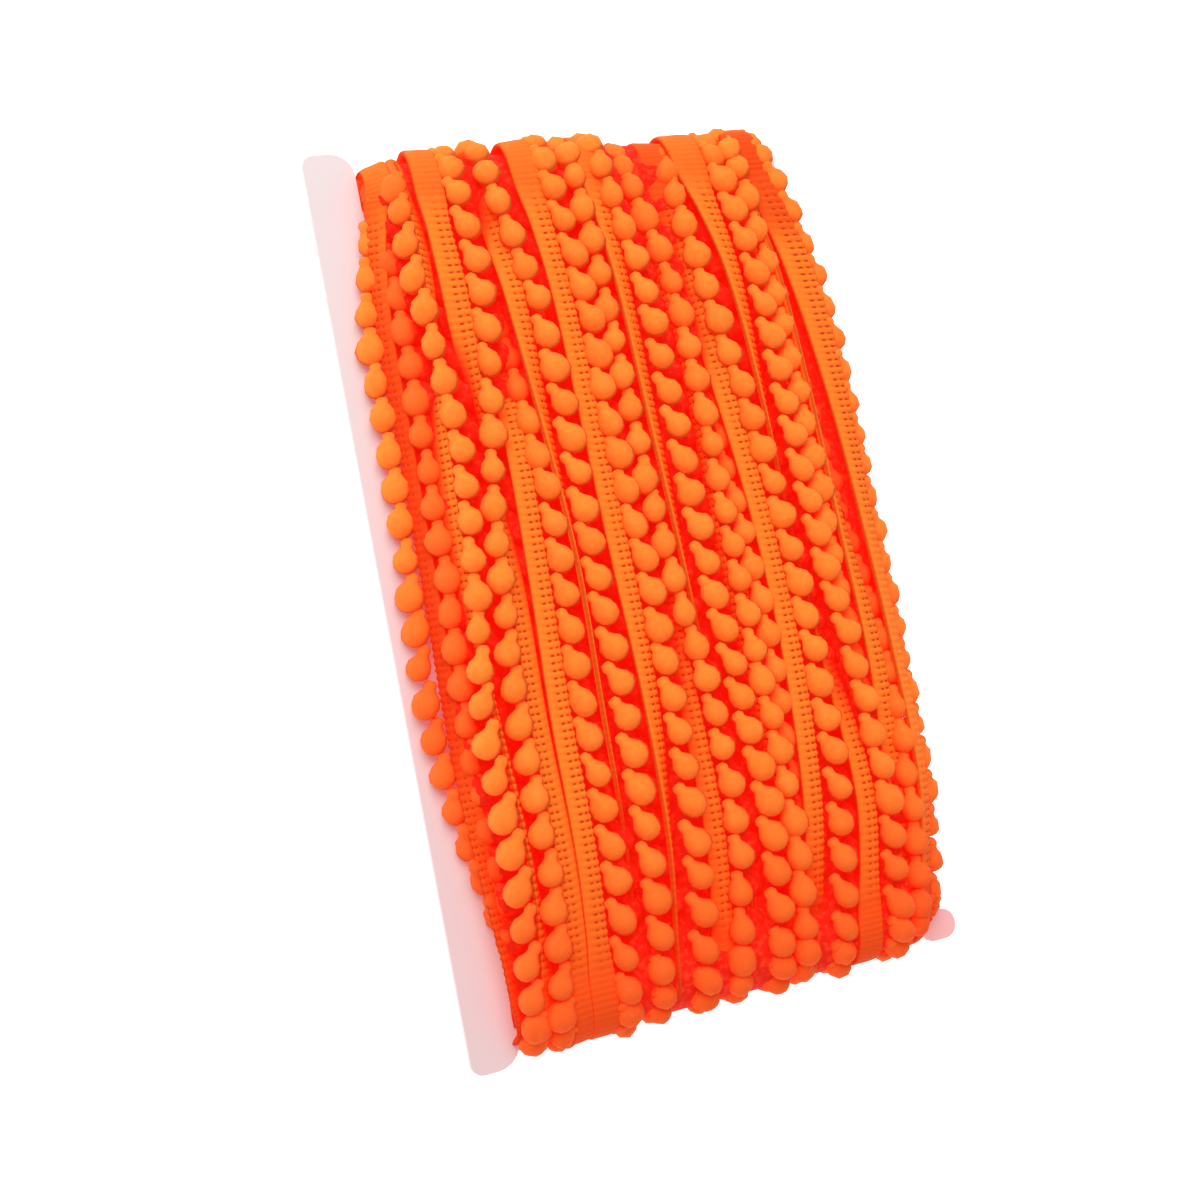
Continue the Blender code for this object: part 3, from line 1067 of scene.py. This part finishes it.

# %% [markdown]
# The yarn is fluorescent orange: what light it doesn't send back it turns into red, so that
# even the deep gaps between the pompoms glow red. That glow is painted: a small constant red
# emission, the same in light and in shade. The pompoms differ a little in tone. Painted shade
# turns them red deep between their neighbours and on the side that is away from the light, and a
# painted crease shade darkens them, colour and glow, round that side. A fine bump stands for the
# cut ends of the yarn, where real hairs would be far too many.

# %% Yarn of the pompoms
YARN_ORANGE = (0.96, 0.305, 0.036, 1)
YARN_DARKER = (0.95, 0.235, 0.025, 1)
# painted shade: the red of yarn that little light reaches
YARN_PAINTED_SHADE = (0.7, 0.013, 0.003, 1)
YARN_PAINTED_SHADE_PALE = (0.84, 0.072, 0.02, 1)
# painted glow, the same in light and in shade
GLOW = (1.0, 0.012, 0.0, 1)
GLOW_STRENGTH = 0.3
# painted shade in the crease round the side away from the light, for the colour and for the glow
CREASE_SHADE = (0.42, 0.05, 0.004, 1)
CREASE_SHADE_GLOW = (0.16, 0.01, 0.0, 1)
CREASE_SHARP = 1.6  # power: more makes it narrower
CREASE_WEIGHT = 0.6  # how far it goes toward its own colour
UNDER_PAINTED_SHADE = (-0.1, 0.55)  # of a radius toward the side away from the light: where painted shade turns the yarn red
UNDER_CREASE = (-0.5, 0.4)  # and where the painted shade of the crease begins and ends
TUFTS_DARKER = (0.35, 0.65)  # values of the tufts' noise, for the lit yarn and the sunk
TUFTS_PALE = (0.45, 0.75)
yarn, yarn_surface, start = start_material("yarn", 0.9)
glowing(yarn_surface, GLOW, GLOW_STRENGTH)
hidden = attribute(start, "hidden")
under = attribute(start, "under")
tufts = noise(start, scale=900, detail=2)
darker = attribute(start, "shade") * 0.5 + tufts.rising(*TUFTS_DARKER) * 0.5
lit_colour = colour_mix(start, darker, YARN_ORANGE, YARN_DARKER)
painted_shade_colour = colour_mix(start, tufts.rising(*TUFTS_PALE), YARN_PAINTED_SHADE, YARN_PAINTED_SHADE_PALE)
painted_shade = start.math("MAXIMUM", hidden, under.rising(*UNDER_PAINTED_SHADE))
rim = under.rising(*UNDER_CREASE)
crease_shade = (rim * (1.0 - rim) * 4.0) ** CREASE_SHARP * (1.0 - hidden) * CREASE_WEIGHT
colour = colour_mix(start, crease_shade, colour_mix(start, painted_shade, lit_colour, painted_shade_colour), CREASE_SHADE)
fuzz = noise(start, scale=2200, detail=2)
bump = start.node("ShaderNodeBump", {"Height": fuzz, "Strength": 0.25, "Distance": 0.2 * MM})
join(start, colour, yarn_surface, "Base Color")
join(start, colour_mix(start, crease_shade, GLOW, CREASE_SHADE_GLOW), yarn_surface, "Emission Color")
join(start, bump, yarn_surface, "Normal")
print("yarn has", len(yarn.node_tree.nodes), "nodes")

# %% [markdown]
# In the tape the threads are pulled together between two ribs, and two rows of tiny holes open
# there, one along its middle and one nearer the pompoms. Cut into the mesh they would need many
# times its faces, so they are painted darker from the attributes of the band: the holes are real,
# and the dark seen in them is painted shade, as is the dark of the grooves between the ribs and
# along the tape's edges. The edge away from the pompoms is a plain selvedge, and where the tape
# is drawn taut the holes close. Round the ends of the card, turned away from the light, the taut
# tape gets a redder painted shade, and the whole tape has the yarn's painted glow, a little
# weaker.

# %% Weave of the tape
TAPE_ORANGE = (0.96, 0.262, 0.026, 1)
# painted shade of the tape where it is drawn taut round the ends of the card
TAPE_END_SHADE = (0.95, 0.16, 0.02, 1)
# painted shade seen in the holes and the grooves and along the edges
TAPE_HOLE_SHADE = (0.42, 0.045, 0.004, 1)
TAPE_GLOSS = 0.1
TAPE_GLOW = 0.8  # of the yarn's
GROOVES = (0.1, 1.0)  # depths of the wave between two ribs that darken
GROOVED = (-0.6, -0.1)  # across the tape, from -1 to 1: where the grooves begin and are full
HOLE_ROWS = (0.05, 0.62)  # across the tape
HOLE_REACH = (0.06, 0.24)  # to either side of a row: where a hole is full and where it ends
EDGES = (0.84, 1.0)  # across the tape: where painted shade darkens its edges
GROOVE_WEIGHT = 0.28  # how far the grooves, the holes and the edges go toward their painted shade
HOLE_WEIGHT = 0.72
EDGE_WEIGHT = 0.8
HOLES_UNEVEN = (0.35, 1.3)  # least darkness of the grooves and holes, and how much more by noise
PLAIN_CLOSED = 0.85  # share of a hole that closes where the tape is plain
END_SHADE_WEIGHT = 0.7  # how far the taut tape round the ends goes toward its painted shade
HOLES_IN_PAINTED_SHADE = 0.5  # share of a hole's painted shade that stays where the tape gets the yarn's painted shade
weave, weave_surface, start = start_material("weave", 0.85, TAPE_GLOSS)
glowing(weave_surface, GLOW, GLOW_STRENGTH * TAPE_GLOW)
across = attribute(start, "across")
wave = start.math("COSINE", attribute(start, "along") * (2 * math.pi / RIB_PITCH))
groove = (0.0 - wave).rising(*GROOVES)
rows = [start.math("ABSOLUTE", across - row).rising(*HOLE_REACH) for row in HOLE_ROWS]
holes = 1.0 - start.math("MINIMUM", *rows)
least, more = HOLES_UNEVEN
uneven = least + more * noise(start, scale=700, detail=1)
pulled = (1.0 - attribute(start, "plain") * PLAIN_CLOSED) * uneven
marks = groove * (GROOVE_WEIGHT * across.rising(*GROOVED) + HOLE_WEIGHT * holes) * pulled
dark = marks + EDGE_WEIGHT * start.math("ABSOLUTE", across).rising(*EDGES)
colour = colour_mix(start, attribute(start, "taut") * END_SHADE_WEIGHT, TAPE_ORANGE, TAPE_END_SHADE)
colour = colour_mix(start, dark, colour, TAPE_HOLE_SHADE)
painted_shade = attribute(start, "painted_shade") * (1.0 - HOLES_IN_PAINTED_SHADE * dark)
threads = start.node("ShaderNodeBump", {"Height": wave, "Strength": 0.3, "Distance": 0.1 * MM})
join(start, colour_mix(start, painted_shade, colour, YARN_PAINTED_SHADE), weave_surface, "Base Color")
join(start, threads, weave_surface, "Normal")
print("weave has", len(weave.node_tree.nodes), "nodes")

# %% [markdown]
# The card is smooth white board with a trace of grey where paper fibres lie. The fluorescent
# yarn beside it tints it: faintly along its lower half, and more on the small ear at the right,
# which lies close under the turns. Light that bounces off the yarn gives only a part of that
# tint, so the rest is a painted reflection, given by where a point of it lies. The board also
# has a faint painted glow, white and redder where it is tinted, which keeps it pale in the shade
# of the turns.

# %% Card
CARD_WHITE = (0.80, 0.745, 0.75, 1)
CARD_GREY = (0.76, 0.70, 0.71, 1)
CARD_TINTED = (0.80, 0.54, 0.54, 1)
# painted glow of the board, plain and where it takes the painted reflection
CARD_GLOW = (0.4, 0.2, 0.2, 1)
CARD_GLOW_TINTED = (1.0, 0.2, 0.19, 1)
CARD_GLOW_STRENGTH = 0.3
LOWER_HALF = (0.0, 40 * MM)  # up the card: where its faint tint is full and where it ends
LOWER_TINT = 0.2
EAR = (30 * MM, 42 * MM)  # across the card: where the stronger tint begins and is full
EAR_TINT = 0.8
board, board_surface, start = start_material("card_board", 0.6)
glowing(board_surface, CARD_GLOW, CARD_GLOW_STRENGTH)
right = start.node("ShaderNodeSeparateXYZ", {"Vector": object_point(start)}, output="X")
up = start.node("ShaderNodeSeparateXYZ", {"Vector": object_point(start)}, output="Y")
# painted reflection of the yarn's red, by where the point lies
tint = LOWER_TINT * (1.0 - up.rising(*LOWER_HALF)) + EAR_TINT * right.rising(*EAR)
colour = colour_mix(start, noise(start, scale=90, detail=4), CARD_WHITE, CARD_GREY)
glow = colour_mix(start, tint, CARD_GLOW, CARD_GLOW_TINTED)
join(start, colour_mix(start, tint, colour, CARD_TINTED), board_surface, "Base Color")
join(start, glow, board_surface, "Emission Color")
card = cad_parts["card"]
card.data.materials.clear()
card.data.materials.append(board)
print("card_board has", len(board.node_tree.nodes), "nodes")

# %% [markdown]
# The tape takes the weave, and pompoms and core take the yarn. All of them stand in for the
# frame's plain solid of the wound trim, which is hidden, and ride on the same body as the card.
# Trim and pompoms are dyed together.

# %% Finish and attach the pieces
for piece in tapes:
    piece.data.materials.append(weave)
for piece in pompoms + [inner, core]:
    piece.data.materials.append(yarn)
for piece in tapes + pompoms + [inner, core]:
    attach(piece, "root")
    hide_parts("wound_trim")
print("pieces:", [piece.name for piece in tapes + pompoms + [inner, core]])

# %% [markdown]
# The card lies on a pale, evenly lit floor. A little emission keeps it white to its far edge,
# so that no more lamps are needed for it.

# %% Floor
FLOOR_HALF = 1.5  # m
FLOOR_WHITE = (0.93, 0.93, 0.93, 1)
FLOOR_GREY = (0.91, 0.91, 0.91, 1)
WHITE = (1, 1, 1, 1)
FLOOR_GLOW_STRENGTH = 0.8
bm = bmesh.new()
bmesh.ops.create_grid(bm, x_segments=1, y_segments=1, size=FLOOR_HALF)
floor_mesh = bpy.data.meshes.new("floor")
bm.to_mesh(floor_mesh)
bm.free()
floor = as_object("floor", floor_mesh)
floor_white, floor_surface, start = start_material("floor_white", 0.95)
glowing(floor_surface, WHITE, FLOOR_GLOW_STRENGTH)
mottled = colour_mix(start, noise(start, scale=3, detail=1), FLOOR_WHITE, FLOOR_GREY)
join(start, mottled, floor_surface, "Base Color")
floor_mesh.materials.append(floor_white)
print("the floor is", 2 * FLOOR_HALF, "m wide")

# %% [markdown]
# A broad soft light stands over the upper left, and the rest comes from a white surround. With
# a small lamp the pompoms' shadows would be hard.

# %% Light
WORLD_STRENGTH = 0.45
KEY_SIZE = 0.5  # m
KEY_POWER = 2.42  # W
KEY_PLACE = (-0.12, 0.35, 0.50)
KEY_AIM = (0, 0.02, 0)
scene = bpy.context.scene
scene.view_settings.view_transform = "Standard"
world = bpy.data.worlds.new("studio")
world.use_nodes = True
world.node_tree.nodes["Background"].inputs["Color"].default_value = WHITE
world.node_tree.nodes["Background"].inputs["Strength"].default_value = WORLD_STRENGTH
scene.world = world
lamp = bpy.data.lights.new("key", "AREA")
lamp.shape = "DISK"
lamp.size = KEY_SIZE
lamp.energy = KEY_POWER
key = bpy.data.objects.new("key", lamp)
scene.collection.objects.link(key)
key.location = KEY_PLACE
aim = Vector(KEY_AIM) - Vector(KEY_PLACE)
key.rotation_euler = aim.to_track_quat("-Z", "Y").to_euler()
print("the key light stands", round(aim.length, 2), "m away")

# %% [markdown]
# The camera looks down on the card from nearly overhead, a little from the left and from below.

# %% Camera
CAMERA_PLACE = (-0.09053, -0.02598, 0.25823)
CAMERA_TURN = (8.207, -17.055, -11.767)  # degrees
lens = bpy.data.cameras.new("camera")
lens.lens = 45
lens.sensor_width = 36
lens.clip_start = 0.01
lens.dof.use_dof = False
camera = bpy.data.objects.new("camera", lens)
scene.collection.objects.link(camera)
camera.location = CAMERA_PLACE
camera.rotation_euler = [math.radians(angle) for angle in CAMERA_TURN]
scene.camera = camera
print("the camera is", round(camera.location.z / MM), "mm up")
